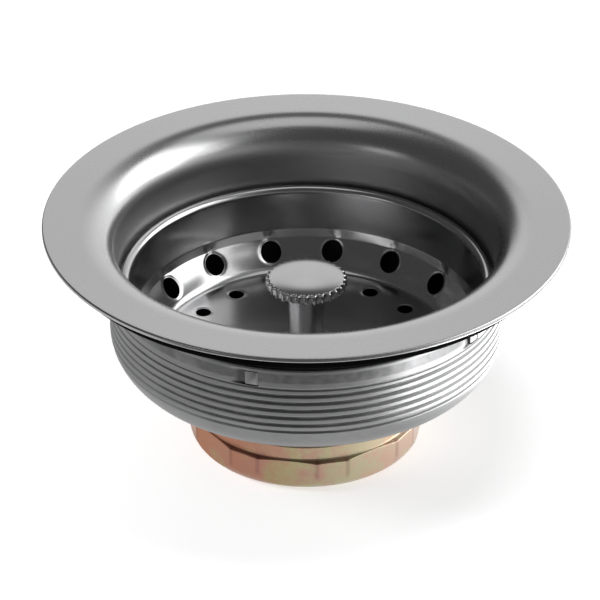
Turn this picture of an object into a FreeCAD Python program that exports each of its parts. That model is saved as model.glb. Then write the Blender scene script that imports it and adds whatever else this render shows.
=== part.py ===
"""Kitchen sink basket strainer: a flanged drain body with a lift-out basket and a slip nut.

Millimetres. The axis of the drain is Z, and the part stands on the slip nut's lower face at Z = 0.
"""
import FreeCAD, Part
import math
import os

import Sketcher

# Driving sizes, in millimetres, degrees and counts
SIZES = {
    # Whole part
    "overall_height": 54.0,
    "fit_gap": 0.05,
    "seat_gap": 0.1,
    "cut_overrun": 5.0,
    # Strainer cup: flange, bell mouth, neck and basket ledge, drawn from one sheet
    "flange_radius": 57.15,
    "flange_edge_radius": 0.4,
    "cup_thickness": 1.0,
    "ledge_gap": 0.4,
    "ledge_bend_radius": 0.6,
    # Staked tabs of the cup and the windows of the shank that they lock into
    "window_count": 5,
    "window_width": 5.2,
    "tab_width": 2.8,
    "shank_turn": 37.0,
    # Flange gasket
    "gasket_thickness": 3.4,
    "gasket_bore_gap": 0.3,
    # Threaded shank: threaded wall, rounded corner, sloping floor and outlet spigot
    "shank_thickness": 0.7,
    "shank_top_radius": 0.5,
    "floor_flat_width": 1.45,
    "floor_bend_radius": 2.0,
    "mouth_bend_radius": 1.5,
    "spigot_radius": 20.9,
    "spigot_wall_thickness": 1.5,
    # Crossbar across the outlet
    "bar_gap": 0.75,
    "bar_thickness": 1.2,
    "bar_width": 8.0,
    "bar_bend_radius": 0.8,
    "eye_radius": 5.5,
    "eye_gap": 0.4,
    # Slip nut
    "nut_flat_pairs": 8,
    "nut_narrow_flat_angle": 15.4,
    "nut_turn": 12.9,
    "nut_base_radius": 4.2,
    "nut_wall_thickness": 3.3,
    "collar_edge_radius": 0.6,
    "shoulder_width": 1.36,
    "shoulder_height": 0.4,
    "thread_gap": 0.3,
    # Tailpiece that the nut takes, and the slip washer
    "tail_tube_gap": 0.25,
    "washer_bevel_width": 0.9,
    "washer_gap": 0.25,
    "washer_seat_gap": 0.3,
    # Basket
    "basket_thickness": 0.7,
    "basket_turn": 13.05,
    "rim_gap": 0.8,
    "rim_width": 2.1,
    "rim_edge_radius": 0.8,
    "wall_taper_width": 0.8,
    "band_width": 4.9,
    "basket_bend_radius": 2.0,
    "boss_radius": 7.0,
    "boss_height": 0.8,
    "hole_count": 16,
    "band_hole_radius": 2.4,
    "band_hole_share": 0.58,
    "floor_hole_radius": 1.7,
    "floor_hole_ring_share": 0.8282,
    # Post, its stem below the basket and its stud in the knob
    "post_top_radius": 4.2,
    "post_foot_radius": 3.7,
    "stem_radius": 2.5,
    "stem_tip_radius": 1.2,
    "stud_radius": 2.2,
    "stud_length": 1.6,
    # Knob
    "knob_radius": 8.9,
    "knob_side_height": 2.1,
    "knob_crown_height": 0.5,
    "knob_bevel_width": 0.7,
    "knob_chamfer_width": 0.3,
    "scallop_count": 30,
    "scallop_radius": 0.85,
    "scallop_depth": 0.6,
    # Stopper, its backing plate and the nut that holds them on the stem
    "plate_radius": 9.0,
    "plate_thickness": 0.8,
    "stopper_overlap_width": 2.6,
    "stopper_lip_thickness": 1.0,
    "stopper_lip_radius": 0.3,
    "stopper_seat_gap": 0.2,
    "stopper_plug_gap": 1.9,
    "stopper_plug_edge_radius": 0.6,
    "post_nut_width": 8.0,
}

# Radii and widths as shares of flange_radius
FLANGE_SHARES = {
    "neck_radius": 0.7209,
    "lip_radius": 0.14,
    "gasket_inset_width": 0.0551,
    "shank_corner_radius": 0.175,
}

# Radius of the tailpiece as a share of spigot_radius
SPIGOT_SHARES = {
    "tail_tube_radius": 0.7596,
}

# Heights, depths and lengths along the axis as shares of overall_height
HEIGHT_SHARES = {
    "shank_top_depth": 0.0667,
    "ledge_depth": 0.0815,
    "window_depth": 0.0204,
    "window_height": 0.0667,
    "tab_height": 0.0556,
    "floor_clearance": 0.0333,
    "mouth_depth": 0.0556,
    "bar_tab_length": 0.0741,
    "nut_height": 0.213,
    "nut_lip_thickness": 0.037,
    "collar_height": 0.063,
    "washer_thickness": 0.0481,
    "basket_depth": 0.3333,
    "rim_height": 0.0352,
    "band_height": 0.1148,
    "post_length": 0.2722,
    "stem_tip_length": 0.0889,
    "stopper_height": 0.0926,
    "post_nut_height": 0.0296,
}

doc = FreeCAD.newDocument("sink_strainer")
sheet = doc.addObject("Spreadsheet::Sheet", "size")
cells = {alias: str(value) for alias, value in SIZES.items()}
for driver, shares in (
    ("flange_radius", FLANGE_SHARES),
    ("spigot_radius", SPIGOT_SHARES),
    ("overall_height", HEIGHT_SHARES),
):
    for alias, share in shares.items():
        cells[alias] = f"={driver} * {share}"
for row, (alias, content) in enumerate(cells.items(), start=1):
    sheet.set(f"A{row}", alias)
    sheet.set(f"B{row}", content)
    sheet.setAlias(f"B{row}", alias)
doc.recompute()

# Heights and radii that several pieces share, as expressions of the sheet
flange_top = "size.overall_height"
flange_under = f"{flange_top} - size.cup_thickness"
gasket_radius = "size.flange_radius - size.gasket_inset_width"
neck_outside = "size.neck_radius + size.cup_thickness"
shank_inside = f"{neck_outside} + size.fit_gap"
shank_outside = f"{shank_inside} + size.shank_thickness"
shank_top = f"{flange_top} - size.lip_radius - size.shank_top_depth"
window_top = f"{shank_top} - size.window_depth"
ledge_top = f"{shank_top} - size.ledge_depth"

rim_radius = "size.neck_radius - size.rim_gap"
rim_top = f"{ledge_top} + size.seat_gap + size.rim_height"
wall_top_radius = f"{rim_radius} - size.rim_width"
wall_foot_radius = f"{wall_top_radius} - size.wall_taper_width"
ledge_radius = f"{wall_top_radius} + size.basket_thickness + size.ledge_gap"
basket_floor_radius = f"{wall_foot_radius} - size.band_width"
basket_floor = f"{rim_top} - size.basket_depth"
basket_under = f"{basket_floor} - size.basket_thickness"
wall_foot = f"{basket_floor} + size.band_height"
floor_hole_ring = f"({basket_floor_radius}) * size.floor_hole_ring_share"
boss_top = f"{basket_floor} + size.boss_height"

stem_hole = "size.stem_radius + size.fit_gap"
plate_top = f"{basket_under} - size.fit_gap"
stopper_top = f"{plate_top} - size.plate_thickness - size.fit_gap"
stopper_base = f"{stopper_top} - size.stopper_height"
post_nut_base = f"{stopper_base} - size.fit_gap - size.post_nut_height"
post_top = f"{boss_top} + size.post_length"

shank_floor_top = f"{basket_under} - size.floor_clearance"
shank_floor = f"{shank_floor_top} - size.shank_thickness"
floor_break_radius = f"({shank_outside} - size.shank_corner_radius - size.floor_flat_width)"
floor_slope = f"size.mouth_depth / ({floor_break_radius} - size.spigot_radius)"
mouth_height = f"{shank_floor} - size.mouth_depth"
spigot_bore = "size.spigot_radius - size.spigot_wall_thickness"
bar_top = f"{post_nut_base} - size.bar_gap"

nut_bore = "size.spigot_radius + size.thread_gap"
collar_radius = f"{nut_bore} + size.nut_wall_thickness"
nut_corner_radius = f"({collar_radius} + size.shoulder_width)"
tail_hole = "size.tail_tube_radius + size.tail_tube_gap"
washer_base = "size.nut_lip_thickness + size.fit_gap"
washer_top = f"{washer_base} + size.washer_thickness"
spigot_end = f"{washer_top} + size.washer_seat_gap"


def number(expression):
    """Value of an expression of the sheet."""
    return float(sheet.evalExpression(expression))


def new_body(label):
    """Empty body whose label names its file."""
    body = doc.addObject("PartDesign::Body", label)
    body.Label = label
    return body


def origin_feature(body, role):
    """One of the body's own origin planes or axes."""
    return next(feature for feature in body.Origin.OriginFeatures if feature.Role == role)


def new_sketch(body, name, role):
    """Empty sketch on one of the body's own origin planes."""
    sketch = body.newObject("Sketcher::SketchObject", name)
    sketch.AttachmentSupport = (origin_feature(body, role), [""])
    sketch.MapMode = "FlatFace"
    return sketch


def bind(sketch, expression, *constraint):
    """Add a dimension to a sketch and tie it to an expression of the sheet."""
    index = sketch.addConstraint(Sketcher.Constraint(*constraint, number(expression)))
    sketch.setExpression(f"Constraints[{index}]", expression)


def place_point(sketch, geometry, position, corner):
    """Tie a point of the sketch to a corner's two coordinates, where "0" is an axis of the sketch.

    The sketcher counts a line's start as 1, its end as 2 and a circle's centre as 3.
    Its level axis is -1, which starts at the origin, and its upright axis is -2.
    """
    for expression, kind, axis in ((corner[0], "DistanceX", -2), (corner[1], "DistanceY", -1)):
        if expression == "0":
            sketch.addConstraint(Sketcher.Constraint("PointOnObject", geometry, position, axis))
        else:
            bind(sketch, expression, kind, -1, 1, geometry, position)


def corner_points(before, here, after, radius):
    """Ends and middle of the arc that rounds a corner."""
    to_before = (before - here).normalize()
    to_after = (after - here).normalize()
    half_angle = to_before.getAngle(to_after) / 2
    reach = radius / math.tan(half_angle)
    inward = (to_before + to_after).normalize()
    middle = here + inward * (radius / math.sin(half_angle) - radius)
    return here + to_before * reach, middle, here + to_after * reach


def outline(body, name, role, corners):
    """Closed outline of straight lines. A corner is (x, y) or (x, y, radius), each an expression."""
    sketch = new_sketch(body, name, role)
    points = [FreeCAD.Vector(number(corner[0]), number(corner[1]), 0) for corner in corners]
    count = len(corners)
    rounds = []
    for i, corner in enumerate(corners):
        here = points[i]
        if len(corner) == 3:
            rounds.append(corner_points(points[i - 1], here, points[(i + 1) % count], number(corner[2])))
        else:
            rounds.append((here, here, here))
    for i in range(count):
        sketch.addGeometry(Part.LineSegment(rounds[i][2], rounds[(i + 1) % count][0]))
    for i, corner in enumerate(corners):
        line_in, line_out = (i - 1) % count, i
        if len(corner) == 2:
            sketch.addConstraint(Sketcher.Constraint("Coincident", line_in, 2, line_out, 1))
            place_point(sketch, line_out, 1, corner)
            continue
        turn = (points[i] - points[i - 1]).cross(points[(i + 1) % count] - points[i]).z
        entry, middle, leave = rounds[i]
        if turn > 0:
            arc = sketch.addGeometry(Part.Arc(entry, middle, leave))
            sketch.addConstraint(Sketcher.Constraint("Tangent", line_in, 2, arc, 1))
            sketch.addConstraint(Sketcher.Constraint("Tangent", arc, 2, line_out, 1))
        else:
            arc = sketch.addGeometry(Part.Arc(leave, middle, entry))
            sketch.addConstraint(Sketcher.Constraint("Tangent", line_in, 2, arc, 2))
            sketch.addConstraint(Sketcher.Constraint("Tangent", arc, 1, line_out, 1))
        vertex = sketch.addGeometry(Part.Point(points[i]), True)
        sketch.addConstraint(Sketcher.Constraint("PointOnObject", vertex, 1, line_in))
        sketch.addConstraint(Sketcher.Constraint("PointOnObject", vertex, 1, line_out))
        place_point(sketch, vertex, 1, corner)
        bind(sketch, corner[2], "Radius", arc)
    return sketch


def revolve(body, name, corners):
    """Turn an outline of radius and height about the Z axis."""
    sketch = outline(body, f"{name}_outline", "XZ_Plane", corners)
    feature = body.newObject("PartDesign::Revolution", name)
    feature.Profile = sketch
    feature.ReferenceAxis = (sketch, ["V_Axis"])
    feature.Angle = 360.0
    doc.recompute()
    return feature


def pattern_round(body, feature, name, count):
    """Repeat a feature evenly about the Z axis."""
    pattern = body.newObject("PartDesign::PolarPattern", name)
    pattern.Originals = [feature]
    pattern.Axis = (origin_feature(body, "Z_Axis"), [""])
    pattern.Angle = 360.0
    pattern.setExpression("Occurrences", count)
    body.Tip = pattern
    doc.recompute()
    return pattern


def cut_through(body, sketch, name, expression, reverse=False):
    """Pocket from a sketch that must take material away."""
    before = body.Shape.Volume
    pocket = body.newObject("PartDesign::Pocket", name)
    pocket.Profile = sketch
    pocket.Type = "Length"
    pocket.Reversed = reverse
    pocket.setExpression("Length", expression)
    doc.recompute()
    if body.Shape.Volume >= before:
        raise ValueError(f"{name} cuts nothing")
    return pocket


def turn_body(body, angle):
    """Turn a whole piece about the drain's axis."""
    body.Placement = FreeCAD.Placement(
        FreeCAD.Vector(), FreeCAD.Rotation(FreeCAD.Vector(0, 0, 1), number(angle))
    )
    body.setExpression("Placement.Rotation.Angle", angle)


def circle(sketch, centre, radius):
    """Circle whose centre and radius are expressions."""
    middle = FreeCAD.Vector(number(centre[0]), number(centre[1]), 0)
    index = sketch.addGeometry(Part.Circle(middle, FreeCAD.Vector(0, 0, 1), number(radius)))
    place_point(sketch, index, 3, centre)
    bind(sketch, radius, "Radius", index)
    return index


def make_strainer_cup():
    """Flange, bell mouth and neck of one sheet, turned in below as the ledge the basket sits on."""
    body = new_body("strainer_cup")
    ledge_under = f"{ledge_top} - size.cup_thickness"
    revolve(body, "cup_sheet_form", [
        ("size.flange_radius", flange_under),
        ("size.flange_radius", flange_top, "size.flange_edge_radius"),
        ("size.neck_radius", flange_top, "size.lip_radius"),
        ("size.neck_radius", ledge_top, "size.ledge_bend_radius"),
        (ledge_radius, ledge_top),
        (ledge_radius, ledge_under),
        (neck_outside, ledge_under, "size.ledge_bend_radius + size.cup_thickness"),
        (neck_outside, flange_under, "size.lip_radius - size.cup_thickness"),
    ])
    tab_middle = f"{window_top} - size.window_height / 2"
    sketch = outline(body, "tab_outline", "XZ_Plane", [
        ("size.neck_radius + size.cup_thickness / 2", f"{tab_middle} - size.tab_height / 2"),
        (f"{shank_outside} - size.fit_gap", f"{tab_middle} - size.tab_height / 2"),
        (f"{shank_outside} - size.fit_gap", f"{tab_middle} + size.tab_height / 2"),
        ("size.neck_radius + size.cup_thickness / 2", f"{tab_middle} + size.tab_height / 2"),
    ])
    tab_offset = "(size.window_width - size.tab_width) / 2 - size.seat_gap"
    sketch.AttachmentOffset = FreeCAD.Placement()
    sketch.setExpression("AttachmentOffset.Base.z", f"-({tab_offset})")
    tab = body.newObject("PartDesign::Pad", "tab")
    tab.Profile = sketch
    tab.Midplane = True
    tab.setExpression("Length", "size.tab_width")
    doc.recompute()
    pattern_round(body, tab, "tabs", "size.window_count")
    turn_body(body, "size.shank_turn")
    return body


def make_flange_gasket():
    """Rubber ring under the flange, bevelled inside to clear the bell mouth."""
    body = new_body("flange_gasket")
    under = f"{flange_under} - size.gasket_thickness"
    mouth_drop = "(size.lip_radius - size.cup_thickness - size.gasket_thickness)"
    mouth_reach = f"sqrt((size.lip_radius - size.cup_thickness)^2 - {mouth_drop}^2)"
    seat_radius = "size.neck_radius + size.lip_radius + size.gasket_bore_gap"
    revolve(body, "gasket_ring", [
        (gasket_radius, flange_under),
        (gasket_radius, under),
        (f"{seat_radius} - {mouth_reach}", under),
        (seat_radius, flange_under),
    ])
    return body


def make_threaded_shank():
    """Shank with its windows, rounded corner, floor falling to the mouth, and outlet spigot."""
    body = new_body("threaded_shank")
    bore_top = f"{mouth_height} + size.shank_thickness - size.spigot_wall_thickness * {floor_slope}"
    revolve(body, "shank_wall", [
        (shank_inside, shank_top),
        (shank_outside, shank_top, "size.shank_top_radius"),
        (shank_outside, shank_floor, "size.shank_corner_radius"),
        (floor_break_radius, shank_floor, "size.floor_bend_radius"),
        ("size.spigot_radius", mouth_height, "size.mouth_bend_radius"),
        ("size.spigot_radius", spigot_end),
        (spigot_bore, spigot_end),
        (spigot_bore, bore_top, "size.mouth_bend_radius + size.spigot_wall_thickness"),
        (floor_break_radius, shank_floor_top, "size.floor_bend_radius"),
        (shank_inside, shank_floor_top, "size.shank_corner_radius - size.shank_thickness"),
    ])
    sketch = outline(body, "window_outline", "YZ_Plane", [
        ("size.window_width / 2", window_top),
        ("-size.window_width / 2", window_top),
        ("-size.window_width / 2", f"{window_top} - size.window_height"),
        ("size.window_width / 2", f"{window_top} - size.window_height"),
    ])
    window = cut_through(body, sketch, "window", f"{shank_outside} + size.cut_overrun", reverse=True)
    pattern_round(body, window, "windows", "size.window_count")
    turn_body(body, "size.shank_turn")
    return body


def make_crossbar():
    """Bent strip across the outlet, with an eye in the middle for the post's tip."""
    body = new_body("crossbar")
    reach = f"sqrt(({spigot_bore})^2 - (size.bar_width / 2)^2) - size.fit_gap"
    under = f"{bar_top} - size.bar_thickness"
    tab_end = f"{bar_top} - size.bar_thickness - size.bar_tab_length"
    sketch = outline(body, "strip_outline", "XZ_Plane", [
        (f"-({reach})", bar_top, "size.bar_bend_radius + size.bar_thickness"),
        (f"-({reach})", tab_end),
        (f"-({reach}) + size.bar_thickness", tab_end),
        (f"-({reach}) + size.bar_thickness", under, "size.bar_bend_radius"),
        (f"{reach} - size.bar_thickness", under, "size.bar_bend_radius"),
        (f"{reach} - size.bar_thickness", tab_end),
        (reach, tab_end),
        (reach, bar_top, "size.bar_bend_radius + size.bar_thickness"),
    ])
    strip = body.newObject("PartDesign::Pad", "strip")
    strip.Profile = sketch
    strip.Midplane = True
    strip.setExpression("Length", "size.bar_width")
    revolve(body, "eye", [
        ("0", bar_top),
        ("size.eye_radius", bar_top),
        ("size.eye_radius", under),
        ("0", under),
    ])
    hole = new_sketch(body, "eye_hole_outline", "XY_Plane")
    circle(hole, ("0", "0"), "size.stem_radius + size.eye_gap")
    cut_through(body, hole, "eye_hole", f"{bar_top} + size.cut_overrun", reverse=True)
    return body


def make_slip_nut():
    """Pressed nut: round collar, wide and narrow flats by turns, round base and inner lip."""
    body = new_body("slip_nut")
    collar_foot = "size.nut_height - size.collar_height"
    revolve(body, "nut_round", [
        (tail_hole, "0"),
        (nut_corner_radius, "0", "size.nut_base_radius"),
        (nut_corner_radius, f"{collar_foot} - size.shoulder_height"),
        (collar_radius, collar_foot),
        (collar_radius, "size.nut_height", "size.collar_edge_radius"),
        (nut_bore, "size.nut_height"),
        (nut_bore, "size.nut_lip_thickness"),
        (tail_hole, "size.nut_lip_thickness"),
    ])
    flats = []
    for pair in range(SIZES["nut_flat_pairs"]):
        for side in ("-", "+"):
            angle = f"({pair} * 360 / size.nut_flat_pairs {side} size.nut_narrow_flat_angle / 2)"
            flats.append((f"{nut_corner_radius} * cos{angle}", f"{nut_corner_radius} * sin{angle}"))
    sketch = outline(body, "flats_outline", "XY_Plane", flats)
    circle(sketch, ("0", "0"), f"{nut_corner_radius} + size.cut_overrun")
    cut_through(body, sketch, "flats", "size.nut_height", reverse=True)
    turn_body(body, "size.nut_turn")
    return body


def make_slip_washer():
    """Bevelled ring on the nut's lip, under the end of the spigot."""
    body = new_body("slip_washer")
    bore = "size.tail_tube_radius + size.fit_gap"
    edge = f"{nut_bore} - size.washer_gap"
    revolve(body, "washer_ring", [
        (bore, washer_base),
        (edge, washer_base),
        (edge, f"{washer_top} - size.washer_bevel_width"),
        (f"{edge} - size.washer_bevel_width", washer_top),
        (bore, washer_top),
    ])
    return body


def make_strainer_basket():
    """Pressed basket: turned-down rim, steep wall, holed band, holed floor and a raised boss."""
    body = new_body("strainer_basket")
    rim_under = f"{rim_top} - size.rim_height"
    boss_foot = "size.boss_radius + size.boss_height"
    outer_bend = "size.basket_bend_radius + size.basket_thickness"
    revolve(body, "basket_sheet_form", [
        (stem_hole, boss_top),
        ("size.boss_radius", boss_top),
        (boss_foot, basket_floor),
        (basket_floor_radius, basket_floor, "size.basket_bend_radius"),
        (wall_foot_radius, wall_foot, "size.basket_bend_radius"),
        (wall_top_radius, rim_top, "size.rim_edge_radius"),
        (rim_radius, rim_top, "size.rim_edge_radius"),
        (rim_radius, rim_under),
        (f"{rim_radius} - size.basket_thickness", rim_under),
        (f"{rim_radius} - size.basket_thickness", f"{rim_top} - size.basket_thickness"),
        (f"{wall_top_radius} + size.basket_thickness", f"{rim_top} - size.basket_thickness"),
        (f"{wall_foot_radius} + size.basket_thickness", wall_foot, outer_bend),
        (f"{basket_floor_radius} + size.basket_thickness / 2", basket_under, outer_bend),
        (f"{boss_foot} + size.basket_thickness / 2", basket_under),
        ("size.boss_radius + size.basket_thickness / 2", f"{boss_top} - size.basket_thickness"),
        (stem_hole, f"{boss_top} - size.basket_thickness"),
    ])
    drill = body.newObject("PartDesign::SubtractiveCylinder", "band_hole")
    drill.AttachmentSupport = (origin_feature(body, "XY_Plane"), [""])
    drill.MapMode = "FlatFace"
    drill.AttachmentOffset = FreeCAD.Placement(
        FreeCAD.Vector(), FreeCAD.Rotation(FreeCAD.Vector(0, 1, 0), 90)
    )
    tilt = "atan(size.band_height / size.band_width)"
    drill.setExpression("Radius", "size.band_hole_radius")
    drill.setExpression("Height", "2 * size.cut_overrun")
    drill.setExpression("AttachmentOffset.Rotation.Angle", f"180 deg - {tilt}")
    drill.setExpression(
        "AttachmentOffset.Base.x",
        f"{basket_floor_radius} + size.band_width * size.band_hole_share"
        f" - size.cut_overrun * sin({tilt})",
    )
    drill.setExpression(
        "AttachmentOffset.Base.z",
        f"{basket_floor} + size.band_height * size.band_hole_share"
        f" + size.cut_overrun * cos({tilt})",
    )
    doc.recompute()
    pattern_round(body, drill, "band_holes", "size.hole_count")
    sketch = new_sketch(body, "floor_hole_outline", "XY_Plane")
    circle(sketch, (floor_hole_ring, "0"), "size.floor_hole_radius")
    reach = f"{basket_floor} + size.cut_overrun"
    floor_hole = cut_through(body, sketch, "floor_hole", reach, reverse=True)
    pattern_round(body, floor_hole, "floor_holes", "size.hole_count")
    turn_body(body, "size.basket_turn")
    return body


def make_basket_post():
    """Tapered post on the basket's boss, with a stem through the basket and a stud in the knob."""
    body = new_body("basket_post")
    stem_tip = f"{post_nut_base} - size.stem_tip_length"
    revolve(body, "post_turned", [
        ("0", stem_tip),
        ("size.stem_radius", stem_tip, "size.stem_tip_radius"),
        ("size.stem_radius", boss_top),
        ("size.post_foot_radius", boss_top),
        ("size.post_top_radius", post_top),
        ("size.stud_radius", post_top),
        ("size.stud_radius", f"{post_top} + size.stud_length"),
        ("0", f"{post_top} + size.stud_length"),
    ])
    return body


def make_basket_knob():
    """Low crowned knob with a scalloped edge, pressed on the post's stud."""
    body = new_body("basket_knob")
    socket = "size.stud_radius + size.fit_gap"
    socket_top = f"{post_top} + size.stud_length + size.fit_gap"
    side_top = f"{post_top} + size.knob_side_height"
    revolve(body, "knob_turned", [
        (socket, post_top),
        ("size.knob_radius - size.knob_chamfer_width", post_top),
        ("size.knob_radius", f"{post_top} + size.knob_chamfer_width"),
        ("size.knob_radius", f"{side_top} - size.knob_chamfer_width"),
        ("size.knob_radius - size.knob_bevel_width", side_top),
        ("0", f"{side_top} + size.knob_crown_height"),
        ("0", socket_top),
        (socket, socket_top),
    ])
    sketch = new_sketch(body, "scallop_outline", "XY_Plane")
    scallop_ring = "size.knob_radius + size.scallop_radius - size.scallop_depth"
    circle(sketch, (scallop_ring, "0"), "size.scallop_radius")
    reach = f"{side_top} + size.cut_overrun"
    scallop = cut_through(body, sketch, "scallop", reach, reverse=True)
    pattern_round(body, scallop, "scallops", "size.scallop_count")
    return body


def make_stopper_plate():
    """Flat plate between the basket's floor and the stopper."""
    body = new_body("stopper_plate")
    revolve(body, "plate_disc", [
        (stem_hole, plate_top),
        ("size.plate_radius", plate_top),
        ("size.plate_radius", f"{plate_top} - size.plate_thickness"),
        (stem_hole, f"{plate_top} - size.plate_thickness"),
    ])
    return body


def make_basket_stopper():
    """Rubber stopper whose lip lies along the sloping floor and whose plug enters the mouth."""
    body = new_body("basket_stopper")
    lip_radius = "(size.spigot_radius + size.stopper_overlap_width)"
    plug_radius = f"({spigot_bore} - size.stopper_plug_gap)"
    seat_at_break = f"{shank_floor_top} + size.stopper_seat_gap"
    lip_under = f"{seat_at_break} - ({floor_break_radius} - {lip_radius}) * {floor_slope}"
    plug_shoulder = f"{seat_at_break} - ({floor_break_radius} - {plug_radius}) * {floor_slope}"
    revolve(body, "stopper_rubber", [
        (stem_hole, stopper_top),
        ("size.plate_radius", stopper_top),
        (lip_radius, f"{lip_under} + size.stopper_lip_thickness", "size.stopper_lip_radius"),
        (lip_radius, lip_under, "size.stopper_lip_radius"),
        (plug_radius, plug_shoulder),
        (plug_radius, stopper_base, "size.stopper_plug_edge_radius"),
        (stem_hole, stopper_base),
    ])
    return body


def make_post_nut():
    """Hexagon nut on the stem, under the stopper."""
    body = new_body("post_nut")
    corners = []
    for side in range(6):
        angle = f"({side} * 60)"
        corner_radius = "size.post_nut_width / 2 / cos(30)"
        corners.append((f"{corner_radius} * cos{angle}", f"{corner_radius} * sin{angle}"))
    sketch = outline(body, "hexagon", "XY_Plane", corners)
    circle(sketch, ("0", "0"), stem_hole)
    sketch.AttachmentOffset = FreeCAD.Placement()
    sketch.setExpression("AttachmentOffset.Base.z", post_nut_base)
    pad = body.newObject("PartDesign::Pad", "hexagon_nut")
    pad.Profile = sketch
    pad.setExpression("Length", "size.post_nut_height")
    doc.recompute()
    return body


bodies = [
    make_strainer_cup(),
    make_flange_gasket(),
    make_threaded_shank(),
    make_crossbar(),
    make_slip_nut(),
    make_slip_washer(),
    make_strainer_basket(),
    make_basket_post(),
    make_basket_knob(),
    make_stopper_plate(),
    make_basket_stopper(),
    make_post_nut(),
]
doc.recompute()

failed = [item.Name for item in doc.Objects if {"Invalid", "Error"} & set(item.State)]
if failed:
    raise ValueError(f"features failed: {failed}")
for body in bodies:
    if body.Shape.isNull() or not body.Shape.isValid():
        raise ValueError(f"{body.Label} has no valid shape")

os.makedirs("parts", exist_ok=True)
for body in bodies:
    body.Shape.exportStep(f"parts/{body.Label}.step")
    print(body.Label, len(body.Shape.Solids), round(body.Shape.Volume, 1))
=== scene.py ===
"""Looks of the sink basket strainer: smooth turned metal, thread, punched basket, knob and plated nut."""
import math

import bmesh
import bpy
import numpy as np
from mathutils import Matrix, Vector


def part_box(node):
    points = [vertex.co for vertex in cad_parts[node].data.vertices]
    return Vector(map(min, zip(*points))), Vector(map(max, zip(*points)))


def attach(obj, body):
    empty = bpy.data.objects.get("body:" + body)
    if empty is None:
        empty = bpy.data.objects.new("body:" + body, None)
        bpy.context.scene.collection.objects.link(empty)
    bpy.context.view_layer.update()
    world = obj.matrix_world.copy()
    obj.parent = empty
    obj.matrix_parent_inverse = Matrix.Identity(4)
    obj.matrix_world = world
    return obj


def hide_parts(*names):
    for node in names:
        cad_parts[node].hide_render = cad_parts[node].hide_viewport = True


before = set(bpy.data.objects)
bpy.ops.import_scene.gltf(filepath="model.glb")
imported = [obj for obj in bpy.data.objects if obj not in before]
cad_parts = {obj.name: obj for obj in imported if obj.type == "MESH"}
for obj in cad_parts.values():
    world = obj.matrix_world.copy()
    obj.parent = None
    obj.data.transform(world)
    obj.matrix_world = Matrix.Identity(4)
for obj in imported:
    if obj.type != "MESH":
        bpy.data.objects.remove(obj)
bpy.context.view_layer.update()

MM = 0.001
TAU = 2 * math.pi
SHARP_ANGLE = 32
WELD_GAP = 1e-7
SAME_HEIGHT = 1e-6
SAME_RADIUS = 0.01
SAME_ANGLE = 1e-9


# Sizes, in millimetres and radians, from the frame where it gives them
def low(node):
    """Lowest corner of a CAD node."""
    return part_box(node)[0] / MM


def high(node):
    """Highest corner of a CAD node."""
    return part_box(node)[1] / MM


def outer_radius(node):
    """Radius of the circle inside a round node's box."""
    return min(high(node).x, high(node).y, -low(node).x, -low(node).y)


# Strainer cup
FLANGE_RADIUS = outer_radius("strainer_cup")
FLANGE_TOP = high("strainer_cup").z
CUP_SHEET = 1.0
CUP_COLUMNS = 360
CUP_ROW_GAP = 1.0
FLANGE_EDGE = 0.4
FLANGE_UNDER_EDGE = 0.3
LIP_RADIUS = 8.0
NECK_RADIUS = 41.2
NECK_OUTSIDE = NECK_RADIUS + CUP_SHEET
LEDGE_TOP = 38.0
LEDGE_RADIUS = 39.4
LEDGE_BEND = 0.6

# Windows of the shank, and the cup's tabs in them
WINDOW_COUNT = 5
WINDOW_STEP = TAU / WINDOW_COUNT
WINDOW_TOP = 41.3
WINDOW_FOOT = 37.7
SHANK_TURN = math.radians(37.0)
TAB_WIDTH = 2.86
TAB_OFFSET = 1.1
TAB_HEIGHT = 3.5
TAB_CORNER = 0.3
TAB_ROOT = 0.3
TAB_BEVEL = 0.30
TAB_SUNK = 0.05
TAB_FACE_SHARE = 0.86
TAB_FACE_SHIFT = 0.22
TAB_SLOT = 2.95

# Gasket
GASKET_RADIUS = outer_radius("flange_gasket")
GASKET_TOP = high("flange_gasket").z
GASKET_FOOT = low("flange_gasket").z
GASKET_EDGE = 0.5
GASKET_BORE_TOP = 49.5
GASKET_BORE_FOOT = 43.5
GASKET_COLUMNS = 256
GASKET_ROW_GAP = 2.0

# Threaded shank
SHANK_OUTSIDE = 42.95
SHANK_INSIDE = 42.25
SHANK_TOP = high("threaded_shank").z
SHANK_FOOT = low("threaded_shank").z
SHANK_SHEET = 0.7
SHANK_CORNER = 10.0
SHANK_CORNER_FINE_RUN = 4.2
SHANK_CORNER_FAR_ROWS = 24
SHANK_FLOOR = 18.8
SHANK_EDGE = 0.5
SHANK_EDGE_STEP = 15
SHANK_BAND_START = 0.75
SHANK_BAND_ROWS = 3
SHANK_WINDOW_ROWS = 25
SHANK_ROW_STEP = 0.1
SHANK_UNDER_START = 0.2
SHANK_UNDER_GAP = 2.5
SHANK_SHARP_ANGLE = 40
FLOOR_BREAK = 31.5
FLOOR_BREAK_BEND = 2.0
MOUTH_HEIGHT = 15.8
MOUTH_BEND = 1.5
MOUTH_INNER_BEND = 3.0
SPIGOT_RADIUS = 20.9
SPIGOT_BORE = 19.4
SPIGOT_EDGE = 0.3
SLOT_COLUMNS = 6
PANEL_COLUMNS = 72
SLOT_HALF = math.asin(TAB_SLOT / 2 / SHANK_OUTSIDE)
SLOT_SHIFT = TAB_OFFSET / SHANK_OUTSIDE
OFF_WALL = 99.0

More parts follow.
